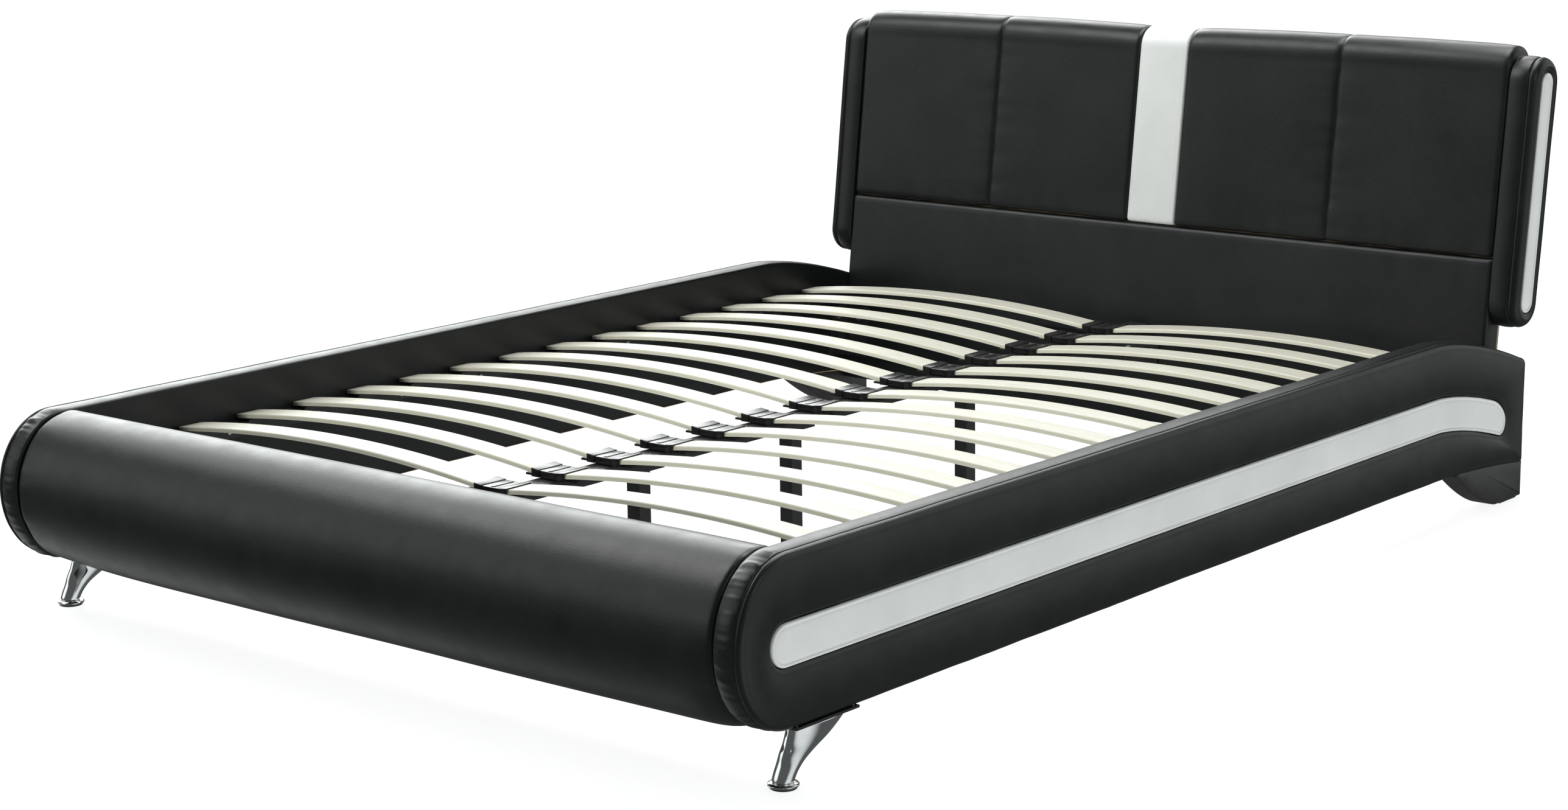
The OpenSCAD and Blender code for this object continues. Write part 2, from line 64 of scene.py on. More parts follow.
# ---------- shape of the side rail ----------
NOSE_RY = 0.110
NOSE_RZ = (RAIL_TOP - RAIL_LOW) / 2
NOSE_Y = rail_lo.y + NOSE_RY
NOSE_Z = RAIL_LOW + NOSE_RZ
RAIL_FALL = 0.079
LOW_FALL = RAIL_LOW - rail_lo.z
BEND_Y = REAR_Y - 0.345
REAR_CORNER = 0.012
STRIPE_W = 0.065
STRIPE_Z = NOSE_Z - 0.003
STRIPE_END_TOP = 0.055
STRIPE_END_LOW = 0.024
RAIL_SEAM_X = INNER_X + 0.037
ROLL_BACK_DROP = 0.075
ROLL_HANG = 0.0092
ROLL_HANG_REACH = {"right": 0.022, "left": 0.17}
FOOT_SWEEP = 0.161
FOOT_POWER = 1.34

# ---------- shape of the headboard ----------
HEAD_TILT = math.radians(7.5)
PIVOT_Z = 0.329
PIVOT_Y = RECESS_Y0 + 2.040 + 0.055 * math.tan(HEAD_TILT)
HEAD_RISE = 0.530
HEAD_T = 0.084
SEAM_V = 0.136
STRIP_HALF = 0.056
PANEL_SEAM_X = 0.405
WING_T = 0.057
WING_MID_W = 0.044
WING_HALF = 0.048
WING_V = (0.008, 0.516)
INLAY_MID_W = WING_MID_W + 0.003
INLAY_HALF = 0.0215
INLAY_V = (0.036, 0.488)
PAD_TOP_CROWN = 0.0095
STRIP_TOP_CROWN = 0.004
PAD_FACE_CROWN = 0.0030
SEAM_DEPTH = 0.0027

SLAT_T = 0.008
SLAT_INNER_X = 0.0236
SLAT_END = 0.965
PLY_BANDS = 31.4
GRAIN_STRETCH = (1.2, 24.0, 24.0)
CLIP_LIP_X = (0.020, 0.037)
CLIP_LIP_T = 0.0012
CLIP_WALL_T = 0.0016


# ---------- mesh helpers ----------
def lerp(a, b, t):
    return a + (b - a) * t


def arc(start_deg, end_deg, count):
    """Angles in radians, ends included."""
    return np.radians(np.linspace(start_deg, end_deg, count))


def finish_mesh(name, verts, faces, weld=True):
    """A smooth-shaded object from points and faces, with its normals outwards."""
    mesh = bpy.data.meshes.new(name)
    mesh.from_pydata([tuple(map(float, v)) for v in verts], [], faces)
    bm = bmesh.new()
    bm.from_mesh(mesh)
    if weld:
        bmesh.ops.remove_doubles(bm, verts=bm.verts, dist=2e-6)
    bmesh.ops.dissolve_degenerate(bm, edges=bm.edges, dist=1e-7)
    bmesh.ops.recalc_face_normals(bm, faces=bm.faces)
    for face in bm.faces:
        face.smooth = True
    bm.to_mesh(mesh)
    bm.free()
    obj = bpy.data.objects.new(name, mesh)
    scene.collection.objects.link(obj)
    return obj


def ring_faces(rings, count, start=0, caps=False):
    """Quads between closed rings of the same count, and a face over each end."""
    faces = []
    for i in range(rings - 1):
        a = start + i * count
        for j in range(count):
            k = (j + 1) % count
            faces.append((a + j, a + k, a + count + k, a + count + j))
    if caps:
        faces.append(tuple(start + j for j in reversed(range(count))))
        faces.append(tuple(start + (rings - 1) * count + j for j in range(count)))
    return faces


def loft(name, rings, caps=False):
    rings = [np.asarray(r, float) for r in rings]
    return finish_mesh(name, np.concatenate(rings), ring_faces(len(rings), len(rings[0]), caps=caps))


def mirrored(rings):
    return [np.asarray(r) * np.array([-1.0, 1.0, 1.0]) for r in rings]


def spread(start, end, step, fine=0.0015, edge_width=0.02):
    """Places from start to end, closer together near both ends."""
    near = []
    place = 0.0
    gap = fine
    while place < edge_width:
        near.append(place)
        place += gap
        gap *= 1.35
    middle = np.linspace(edge_width, end - start - edge_width, max(2, int((end - start) / step)))
    places = np.concatenate([near, middle, (end - start) - np.array(near[::-1])])
    return start + np.unique(np.round(places, 6))


def rounded_path(corners, radii, step):
    """Closed path round a polygon with rounded corners, as points and their outward normals."""
    corners = [np.array(c, float) for c in corners]
    points = []
    n = len(corners)
    for i, corner in enumerate(corners):
        before = corners[i - 1] - corner
        after = corners[(i + 1) % n] - corner
        before /= np.linalg.norm(before)
        after /= np.linalg.norm(after)
        half = math.acos(np.clip(before @ after, -1, 1)) / 2
        reach = radii[i] / math.tan(half)
        centre = corner + (before + after) / np.linalg.norm(before + after) * radii[i] / math.sin(half)
        p0 = corner + before * reach
        p1 = corner + after * reach
        a0 = math.atan2(*(p0 - centre)[::-1])
        a1 = math.atan2(*(p1 - centre)[::-1])
        turn = (a1 - a0 + math.pi) % (2 * math.pi) - math.pi
        count = max(5, int(abs(turn) * radii[i] / step) + 1)
        for t in np.linspace(0, 1, count):
            points.append(centre + radii[i] * np.array([math.cos(a0 + turn * t), math.sin(a0 + turn * t)]))
    filled = []
    for i, p in enumerate(points):
        q = points[(i + 1) % len(points)]
        count = max(1, int(round(np.linalg.norm(q - p) / step)))
        filled += [p + (q - p) * t for t in np.arange(count) / count]
    path = np.array(filled)
    return path, path_normals(path)


def path_normals(path):
    tangent = np.roll(path, -1, 0) - np.roll(path, 1, 0)
    tangent /= np.linalg.norm(tangent, axis=1)[:, None]
    normal = np.stack([tangent[:, 1], -tangent[:, 0]], 1)
    area = np.sum(path[:, 0] * np.roll(path[:, 1], -1) - path[:, 1] * np.roll(path[:, 0], -1))
    return normal if area > 0 else -normal


def noise_each(points):
    """Smooth noise from about -1 to 1 at each point."""
    return np.array([noise.noise(Vector(p)) for p in points])


def wander(points, scale, seed):
    """The same noise at another scale and a place of its own."""
    offset = Vector((seed * 3.1, seed * 1.7, seed * 5.3))
    return np.array([noise.noise(Vector(p) * scale + offset) for p in points])


def soften(obj, amount, scale, seed):
    """Moves the skin in and out a little, as foam under leather does."""
    mesh = obj.data
    co = np.empty(len(mesh.vertices) * 3)
    no = np.empty(len(mesh.vertices) * 3)
    mesh.vertices.foreach_get("co", co)
    mesh.vertices.foreach_get("normal", no)
    co = co.reshape(-1, 3)
    no = no.reshape(-1, 3)
    shift = wander(co, scale, seed) * amount
    mesh.vertices.foreach_set("co", (co + no * shift[:, None]).ravel())
    mesh.update()


def dress(obj, material, body=BED, replaces=()):
    """Material, CAD body, material slot and the CAD nodes that a piece stands for."""
    obj.data.materials.clear()
    obj.data.materials.append(material)
    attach(obj, body)
    if replaces:
        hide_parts(*replaces)
    return obj


# ---------- materials ----------
def new_material(name):
    material = bpy.data.materials.new(name)
    material.use_nodes = True
    tree = material.node_tree
    return material, tree, tree.nodes["Principled BSDF"]


def add_node(tree, kind, **values):
    node = tree.nodes.new(kind)
    for key, value in values.items():
        if key in node.inputs:
            node.inputs[key].default_value = value
        else:
            setattr(node, key.lower().replace(" ", "_"), value)
    return node


def coordinates(tree, stretch=(1, 1, 1)):
    place = tree.nodes.new("ShaderNodeTexCoord")
    mapping = add_node(tree, "ShaderNodeMapping", Scale=stretch)
    tree.links.new(place.outputs["Object"], mapping.inputs["Vector"])
    return mapping.outputs["Vector"]


def noise_node(tree, vector, scale, detail=3.0, roughness=0.55):
    node = add_node(tree, "ShaderNodeTexNoise", Scale=scale, Detail=detail, Roughness=roughness)
    tree.links.new(vector, node.inputs["Vector"])
    return node.outputs["Fac"]


def ramp(tree, value, stops):
    node = tree.nodes.new("ShaderNodeValToRGB")
    elements = node.color_ramp.elements
    while len(elements) < len(stops):
        elements.new(0.5)
    for element, (place, colour) in zip(elements, stops):
        element.position = place
        element.color = (*colour, 1.0)
    tree.links.new(value, node.inputs["Fac"])
    return node.outputs["Color"]


def to_range(tree, value, low, high, source=(0.3, 0.7)):
    node = add_node(tree, "ShaderNodeMapRange")
    node.inputs["From Min"].default_value, node.inputs["From Max"].default_value = source
    node.inputs["To Min"].default_value = low
    node.inputs["To Max"].default_value = high
    tree.links.new(value, node.inputs["Value"])
    return node.outputs["Result"]


def combine(tree, operation, a, b):
    node = add_node(tree, "ShaderNodeMath", operation=operation)
    for socket, value in zip(node.inputs, (a, b)):
        if isinstance(value, (int, float)):
            socket.default_value = value
        else:
            tree.links.new(value, socket)
    return node.outputs["Value"]


def bump(tree, shader, layers):
    """Bump from (height, strength, distance) layers, each on top of the one before."""
    normal = None
    for height, strength, distance in layers:
        node = add_node(tree, "ShaderNodeBump", Strength=strength, Distance=distance)
        tree.links.new(height, node.inputs["Height"])
        if normal is not None:
            tree.links.new(normal, node.inputs["Normal"])
        normal = node.outputs["Normal"]
    tree.links.new(normal, shader.inputs["Normal"])


def leather(name, dark, light, roughness, grain):
    """Pebbled leather: grain cells, fine pores, faint cloudy tone and worn, smoother patches."""
    material, tree, shader = new_material(name)
    vector = coordinates(tree)
    cloud = noise_node(tree, vector, 9.0, 4.0)
    tree.links.new(ramp(tree, cloud, [(0.32, dark), (0.70, light)]), shader.inputs["Base Color"])
    cells = add_node(tree, "ShaderNodeTexVoronoi", feature="F1", Scale=620.0, Randomness=0.9)
    tree.links.new(vector, cells.inputs["Vector"])
    pores = noise_node(tree, vector, 1900.0, 2.0)
    creases = noise_node(tree, vector, 55.0, 5.0, 0.6)
    wear = to_range(tree, noise_node(tree, vector, 22.0, 3.0), *roughness)
    tree.links.new(wear, shader.inputs["Roughness"])
    bump(tree, shader, [(creases, 0.25, 0.0006), (cells.outputs["Distance"], grain, 0.0003),
                        (pores, grain * 0.4, 0.0001)])
    shader.inputs["IOR"].default_value = 1.42
    return material


def wood(name, face, shade, edge, roughness=0.42):
    """Lacquered veneer with long grain on the faces and yellower, layered edges; where the edge colour is
    much paler than the faces, as on the slats, that is painted light lifting the edges' shade.
    """
    material, tree, shader = new_material(name)
    vector = coordinates(tree, GRAIN_STRETCH)
    fibres = noise_node(tree, vector, 9.0, 6.0, 0.62)
    streaks = noise_node(tree, vector, 2.2, 3.0)
    face_colour = ramp(tree, fibres, [(0.30, shade), (0.55, face)])
    plies = add_node(tree, "ShaderNodeAttribute", attribute_name="ply")
    bands = add_node(tree, "ShaderNodeMath", operation="SINE")
    scaled = combine(tree, "MULTIPLY", plies.outputs["Fac"], PLY_BANDS)
    tree.links.new(scaled, bands.inputs[0])
    # The edge colour carries the plies' layers and, on the slats, a painted lift that brightens edges the
    # lamps leave in shade.
    ply_edge_and_painted_lift = ramp(tree, to_range(tree, bands.outputs["Value"], 0.0, 1.0, (-1.0, 1.0)),
                       [(0.25, tuple(c * 0.78 for c in edge)), (0.75, edge)])
    geometry = tree.nodes.new("ShaderNodeNewGeometry")
    split = tree.nodes.new("ShaderNodeSeparateXYZ")
    tree.links.new(geometry.outputs["Normal"], split.inputs["Vector"])
    side = to_range(tree, combine(tree, "ABSOLUTE", split.outputs["Y"], 0.0), 0.0, 1.0, (0.45, 0.85))
    mix = add_node(tree, "ShaderNodeMix", data_type="RGBA")
    tree.links.new(side, mix.inputs["Factor"])
    tree.links.new(face_colour, mix.inputs[6])
    tree.links.new(ply_edge_and_painted_lift, mix.inputs[7])
    tree.links.new(mix.outputs[2], shader.inputs["Base Color"])
    tree.links.new(to_range(tree, streaks, roughness - 0.06, roughness + 0.08), shader.inputs["Roughness"])
    bump(tree, shader, [(fibres, 0.25, 0.0004)])
    return material


def metal(name, colour, roughness, scratch=0.08):
    """Polished or plated metal with faint smudges and fine scratches."""
    material, tree, shader = new_material(name)
    vector = coordinates(tree)
    smudge = noise_node(tree, vector, 45.0, 4.0)
    grain = noise_node(tree, coordinates(tree, (1, 1, 0.15)), 900.0, 2.0)
    dim = tuple(c * 0.9 for c in colour)
    tree.links.new(ramp(tree, smudge, [(0.35, dim), (0.65, colour)]), shader.inputs["Base Color"])
    tree.links.new(to_range(tree, smudge, roughness * 0.7, roughness * 1.5), shader.inputs["Roughness"])
    shader.inputs["Metallic"].default_value = 1.0
    bump(tree, shader, [(grain, scratch, 0.0001)])
    return material


def plastic(name, colour, roughness, texture_scale=1400.0, strength=0.2):
    """Moulded plastic or powder coat with a fine texture and faint mottling."""
    material, tree, shader = new_material(name)
    vector = coordinates(tree)
    mottle = noise_node(tree, vector, 30.0, 3.0)
    light = tuple(min(1.0, c * 1.35 + 0.002) for c in colour)
    tree.links.new(ramp(tree, mottle, [(0.3, colour), (0.7, light)]), shader.inputs["Base Color"])
    tree.links.new(to_range(tree, mottle, roughness * 0.85, roughness * 1.15), shader.inputs["Roughness"])
    bump(tree, shader, [(noise_node(tree, vector, texture_scale, 2.0), strength, 0.0001)])
    return material


def woven(name, colour):
    """Thin non-woven lining: crossing threads and slight tone changes."""
    material, tree, shader = new_material(name)
    vector = coordinates(tree)
    threads = []
    for axis in ("X", "Z"):
        wave = add_node(tree, "ShaderNodeTexWave", bands_direction=axis, Scale=900.0, Distortion=1.5)
        tree.links.new(vector, wave.inputs["Vector"])
        threads.append(wave.outputs["Fac"])
    height = combine(tree, "MAXIMUM", *threads)
    tone = noise_node(tree, vector, 60.0, 4.0)
    light = tuple(c * 1.7 for c in colour)
    tree.links.new(ramp(tree, tone, [(0.3, colour), (0.7, light)]), shader.inputs["Base Color"])
    tree.links.new(to_range(tree, tone, 0.8, 0.95), shader.inputs["Roughness"])
    bump(tree, shader, [(height, 0.4, 0.0003)])
    return material


BLACK_LEATHER = leather(
    "black_leather_look", (0.0050, 0.0062, 0.0062), (0.0086, 0.0104, 0.0102), (0.30, 0.39), 0.35)
WHITE_LEATHER = leather(
    "white_leather_look", (0.715, 0.745, 0.737), (0.785, 0.815, 0.805), (0.34, 0.42), 0.22)
# The slats' edge colour is far paler than their faces: painted light that brightens the front edges, which
# face the dim side of the studio.
SLAT_WOOD = wood("slat_look", (0.575, 0.57, 0.485), (0.50, 0.49, 0.40), (0.90, 0.88, 0.72))
BOARD = wood("board_look", (0.52, 0.38, 0.23), (0.38, 0.26, 0.15), (0.45, 0.33, 0.2), 0.6)
CHROME = metal("chrome_look", (0.83, 0.85, 0.86), 0.05, 0.03)
ZINC = metal("zinc_look", (0.62, 0.64, 0.66), 0.32)
BLACK_STEEL = plastic("black_steel_look", (0.012, 0.012, 0.013), 0.28, 2200.0, 0.12)
BLACK_PLASTIC = plastic("black_plastic_look", (0.010, 0.010, 0.010), 0.24)
FOOT_PLASTIC = plastic("foot_plastic_look", (0.014, 0.014, 0.014), 0.42)
LINING = woven("lining_look", (0.020, 0.020, 0.021))


# ---------- side rail outlines, as closed (y, z) loops with matching places ----------
N_LONG = 150
N_NOSE = 130
N_END = 7
N_STRAIGHT = 16


def fall(y):
    return np.clip((y - BEND_Y) / (REAR_Y - BEND_Y), 0, None) ** 1.6


def rail_loop(inset):
    """Side outline of the rail, drawn inset from its skin."""
    rear = REAR_Y - inset
    r = max(REAR_CORNER - inset, 0.0008)
    y = np.linspace(rear - r, NOSE_Y, N_LONG)
    bottom = np.stack([y, RAIL_LOW - LOW_FALL * fall(y) + inset], 1)
    a = arc(270, 90, N_NOSE)[1:-1]
    nose = np.stack([NOSE_Y + (NOSE_RY - inset) * np.cos(a), NOSE_Z + (NOSE_RZ - inset) * np.sin(a)], 1)
    y = y[::-1]
    top = np.stack([y, RAIL_TOP - RAIL_FALL * fall(y) - inset], 1)
    z1, z0 = top[-1][1] - r, bottom[0][1] + r
    a = arc(90, 0, N_END)[1:]
    upper = np.stack([rear - r + r * np.cos(a), z1 + r * np.sin(a)], 1)
    z = np.linspace(z1, z0, N_STRAIGHT)[1:-1]
    back = np.stack([np.full(len(z), rear), z], 1)
    a = arc(0, -90, N_END)[:-1]
    lower = np.stack([rear - r + r * np.cos(a), z0 + r * np.sin(a)], 1)
    return np.concatenate([bottom, nose, top, upper, back, lower])


def stripe_loop(offset):
    """Outline of the pale stripe, drawn outside it by offset; minus half its width gives its middle line."""
    half = max(STRIPE_W / 2 + offset, 0.0)
    start = stripe_lo.y + STRIPE_W / 2
    tip = stripe_hi.y + offset

    def middle(y):
        return STRIPE_Z - RAIL_FALL * fall(y)

    top_stop = stripe_hi.y - STRIPE_END_TOP
    low_stop = min(stripe_hi.y - STRIPE_END_LOW, tip)
    y = np.linspace(low_stop, start, N_LONG)
    bottom = np.stack([y, middle(y) - half], 1)
    a = arc(270, 90, N_NOSE)[1:-1]
    nose = np.stack([start + half * np.cos(a), STRIPE_Z + half * np.sin(a)], 1)
    y = np.linspace(start, top_stop, N_LONG)
    top = np.stack([y, middle(y) + half], 1)
    a = arc(90, 0, N_END + N_STRAIGHT // 2)[1:]
    y = top_stop + max(tip - top_stop, 0.0) * np.cos(a)
    upper_end = np.stack([y, middle(y) + half * np.sin(a)], 1)
    a = arc(0, -90, N_END + N_STRAIGHT // 2 - 1)[1:-1]
    y = low_stop + (tip - low_stop) * np.cos(a)
    lower_end = np.stack([y, middle(y) + half * np.sin(a)], 1)
    return np.concatenate([bottom, nose, top, upper_end, lower_end])


def stadium_loop(mid_w, half, low_v, high_v, inset):
    """Closed (w, v) loop with half-round ends."""
    r = max(half - inset, 0.0)
    v = np.linspace(low_v + half, high_v - half, 46)
    front = np.stack([np.full(len(v), mid_w - r), v], 1)
    a = arc(180, 0, 34)[1:-1]
    top = np.stack([mid_w + r * np.cos(a), high_v - half + r * np.sin(a)], 1)
    back = np.stack([np.full(len(v), mid_w + r), v[::-1]], 1)
    a = arc(0, -180, 34)[1:-1]
    bottom = np.stack([mid_w + r * np.cos(a), low_v + half + r * np.sin(a)], 1)
    return np.concatenate([front, top, back, bottom])


def at_x(loop, x):
    return np.column_stack([np.full(len(loop), x), loop])


# ---------- padded slabs with an inlay: the side rails and the wings ----------
def slab_rings(outline, inlay, middle, x_in, x_seam, x_face, groove_x, edge_r, crown):
    """Rings from the inner face's middle, round the band and its seam and over the face to the groove."""
    rings = []
    inner_r = 0.004
    for t in np.linspace(0, 1, 7):
        rings.append(at_x(lerp(middle, outline(inner_r * 1.6), t), x_in))
    for a in arc(0, 90, 6)[1:]:
        inset = inner_r * (1 - math.sin(a)) + 0.0004
        rings.append(at_x(outline(inset), x_in + inner_r * (1 - math.cos(a))))
    band = (x_in + inner_r + 0.001, x_seam - 0.0035)
    for t in np.linspace(0, 1, 9):
        rings.append(at_x(outline(0.0002 - 0.0016 * math.sin(math.pi * t) ** 0.7), lerp(*band, t)))
    seam = ((-0.0022, 0.0006), (-0.0010, 0.0016), (-0.0003, 0.0030), (0.0003, 0.0031), (0.0010, 0.0018))
    for step, depth in seam:
        rings.append(at_x(outline(depth), x_seam + step))
    rx = x_face - x_seam - 0.0022
    for a in arc(8, 90, 12):
        rings.append(at_x(outline(edge_r * (1 - math.cos(a)) + 0.0002), x_face - rx + rx * math.sin(a)))
    lip = 0.009
    depth = x_face - groove_x
    start, stop = outline(edge_r + 0.0002), inlay(lip)
    for t in np.linspace(0, 1, 13)[1:-1]:
        rings.append(at_x(lerp(start, stop, t), x_face + crown * math.sin(math.pi * t) ** 0.8))
    for a in arc(0, 90, 9):
        rings.append(at_x(inlay(lip * (1 - math.sin(a)) + 0.0003), x_face - depth * (1 - math.cos(a))))
    rings.append(at_x(inlay(-0.0010), groove_x))
    rings.append(at_x(middle, groove_x))
    return rings


def inlay_rings(inlay, middle, base_x, top_x):
    """A soft strip with a rolled, stitched border, standing in a groove."""
    rise = top_x - base_x
    rings = [at_x(middle, base_x), at_x(inlay(-0.0014), base_x), at_x(inlay(-0.0006), base_x + 0.0006)]
    for a in arc(0, 90, 8)[1:]:
        offset = -0.0004 - 0.0030 * (1 - math.cos(a))
        rings.append(at_x(inlay(offset), base_x + rise * (0.35 + 0.65 * math.sin(a))))
    stitch_line = ((-0.0044, 0.0001), (-0.0054, 0.0009), (-0.0061, 0.0019), (-0.0068, 0.0020),
                   (-0.0076, 0.0013), (-0.0092, 0.0006))
    for offset, drop in stitch_line:
        rings.append(at_x(inlay(offset), top_x - drop))
    start = inlay(-0.0105)
    for t in np.linspace(0, 1, 5):
        rings.append(at_x(lerp(start, middle, t), top_x - 0.0003 + 0.0008 * math.sin(math.pi / 2 * t)))
    return rings


def to_world(rings):
    """Headboard rings (x, w, v) turned into the leaning headboard's place."""
    c, s = math.cos(HEAD_TILT), math.sin(HEAD_TILT)
    out = []
    for ring in rings:
        x, w, v = np.asarray(ring).T
        out.append(np.column_stack([x, PIVOT_Y + w * c + v * s, PIVOT_Z - w * s + v * c]))
    return out


def gather(rings):
    """Fine pleats across the band where it turns round the rail's nose."""
    outer = rail_loop(0.0)
    normals = path_normals(outer)
    along = np.cumsum(np.linalg.norm(np.diff(outer, axis=0, append=outer[:1]), axis=1))
    nose = np.clip((NOSE_Y + 0.03 - outer[:, 0]) / 0.06, 0, 1)
    fine = noise_each((s * 115.0, 2.2, 5.1) for s in along)
    coarse = noise_each((s * 55.0, 7.2, 1.1) for s in along)
    out = []
    for ring in rings:
        ring = np.array(ring)
        t = (ring[0, 0] - INNER_X) / (RAIL_SEAM_X - INNER_X)
        amount = 0.0032 * math.exp(-(((t - 0.55) / 0.42) ** 4))
        ring[:, 1:] += normals * (nose * (0.6 * fine + 0.6 * coarse) * amount)[:, None]
        out.append(ring)
    return out


def make_side_rails():
    middle = stripe_loop(-STRIPE_W / 2)
    groove = OUTER_X - 0.0065
    cover = slab_rings(
        rail_loop, stripe_loop, middle, INNER_X, RAIL_SEAM_X, OUTER_X, groove, edge_r=0.011, crown=0.0035)
    strip = inlay_rings(stripe_loop, middle, groove + 0.0004, OUTER_X + 0.0005)
    cover = gather(cover)
    for side, turn in (("right", list), ("left", mirrored)):
        obj = loft(f"side_rail_leather_{side}", turn(cover))
        soften(obj, 0.0009, 7.0, 2.0 if side == "right" else 5.0)
        soften(obj, 0.0003, 38.0, 3.0)
        dress(obj, BLACK_LEATHER, replaces=[f"side_rail_cover_{side}"])
        obj = loft(f"side_rail_pale_stripe_{side}", turn(strip))
        soften(obj, 0.0003, 30.0, 4.0)
        dress(obj, WHITE_LEATHER, replaces=[f"side_rail_stripe_{side}"])


def make_wings():
    x_in, x_out = HEAD_HALF + 0.0005, HEAD_HALF + WING_T

    def outline(inset):
        return stadium_loop(WING_MID_W, WING_HALF, *WING_V, inset)

    def inlay(offset):
        return stadium_loop(INLAY_MID_W, INLAY_HALF, *INLAY_V, -offset)

    middle = inlay(-INLAY_HALF)
    groove = x_out - 0.006
    cover = slab_rings(
        outline, inlay, middle, x_in, x_out - 0.0175, x_out, groove, edge_r=0.0125, crown=0.0012)
    strip = inlay_rings(inlay, middle, groove + 0.0004, x_out - 0.0006)
    cover, strip = to_world(cover), to_world(strip)
    for side, turn in (("right", list), ("left", mirrored)):
        obj = loft(f"headboard_wing_leather_{side}", turn(cover))
        soften(obj, 0.0007, 11.0, 6.0 if side == "right" else 9.0)
        dress(obj, BLACK_LEATHER, replaces=[f"headboard_wing_{side}"])
        obj = loft(f"wing_pale_inlay_{side}", turn(strip))
        dress(obj, WHITE_LEATHER, replaces=[f"wing_inlay_{side}"])


# ---------- padded sections: a closed section carried along X ----------
def edge_drop(distance, radius):
    """How far a rounded edge has pulled in at that distance from its end."""
    t = np.clip(1 - distance / radius, 0, 1)
    return radius * (1 - np.sqrt(1 - t * t))


def section_rings(path, normals, stations, swell):
    """Rings of (x, a, b): each is the path moved out by swell(x), a distance for each of its points."""
    return [at_x(path + normals * swell(x)[:, None], x) for x in stations]


def make_roll():
    """The foot roll: one leather skin, tucked and pleated at both ends."""
    inset = 0.002
    ry, rz = NOSE_RY - inset, NOSE_RZ - inset
    low, high = NOSE_Z - rz, NOSE_Z + rz
    r = 0.009
    back = RECESS_Y0
    bottom = np.stack([np.linspace(back - r, NOSE_Y, 11), np.full(11, low)], 1)
    a = arc(270, 90, 86)[1:-1]
    nose = np.stack([NOSE_Y + ry * np.cos(a), NOSE_Z + rz * np.sin(a)], 1)
    a = arc(90, 0, 30)
    upper = np.stack([NOSE_Y + (back - NOSE_Y) * np.cos(a), high - ROLL_BACK_DROP * (1 - np.sin(a))], 1)
    z = np.linspace(high - ROLL_BACK_DROP, low + r, 20)[1:-1]
    rear = np.stack([np.full(len(z), back), z], 1)
    a = arc(0, -90, 8)[:-1]
    lower = np.stack([back - r + r * np.cos(a), low + r + r * np.sin(a)], 1)
    path = np.concatenate([bottom, nose, upper, rear, lower])
    normals = path_normals(path)
    steps = np.linalg.norm(np.diff(path, axis=0, append=path[:1]), axis=1)
    along = np.cumsum(steps)
    front = np.clip((back - 0.012 - path[:, 0]) / 0.03, 0, 1)
    belly = ROLL_HANG * np.clip((NOSE_Z + 0.02 - path[:, 1]) / rz, 0, 1) ** 1.4

    def swell(x):
        distance = HEAD_HALF - abs(x)
        side = "right" if x > 0 else "left"
        pleat_seed = {"right": 7.7, "left": 15.4}[side]
        pleat = noise_each((s * 42.0, pleat_seed, 0.4) for s in along)
        pleat = 0.0030 * np.maximum(pleat, -0.25) * math.exp(-distance / 0.020)
        broad = noise_each((x * 3.2, s * 7.0, 1.9) for s in along)
        pull = edge_drop(distance, 0.009)
        bulge = 0.0012 * (1 - math.exp(-distance / 0.05))
        hang = belly * (1 - math.exp(-((distance / ROLL_HANG_REACH[side]) ** 1.3)))
        return front * (pleat + 0.0014 * broad + bulge + hang) - pull

    stations = spread(-HEAD_HALF, HEAD_HALF, 0.011, edge_width=0.05)
    obj = loft("footboard_roll_leather", section_rings(path, normals, stations, swell), caps=True)
    dress(obj, BLACK_LEATHER, replaces=["footboard_roll_pad"])


def upper_path():
    corners = [(0.0, SEAM_V), (0.0, HEAD_RISE), (HEAD_T, HEAD_RISE), (HEAD_T, SEAM_V)]
    return rounded_path(corners, [0.007, 0.042, 0.034, 0.006], 0.0065)


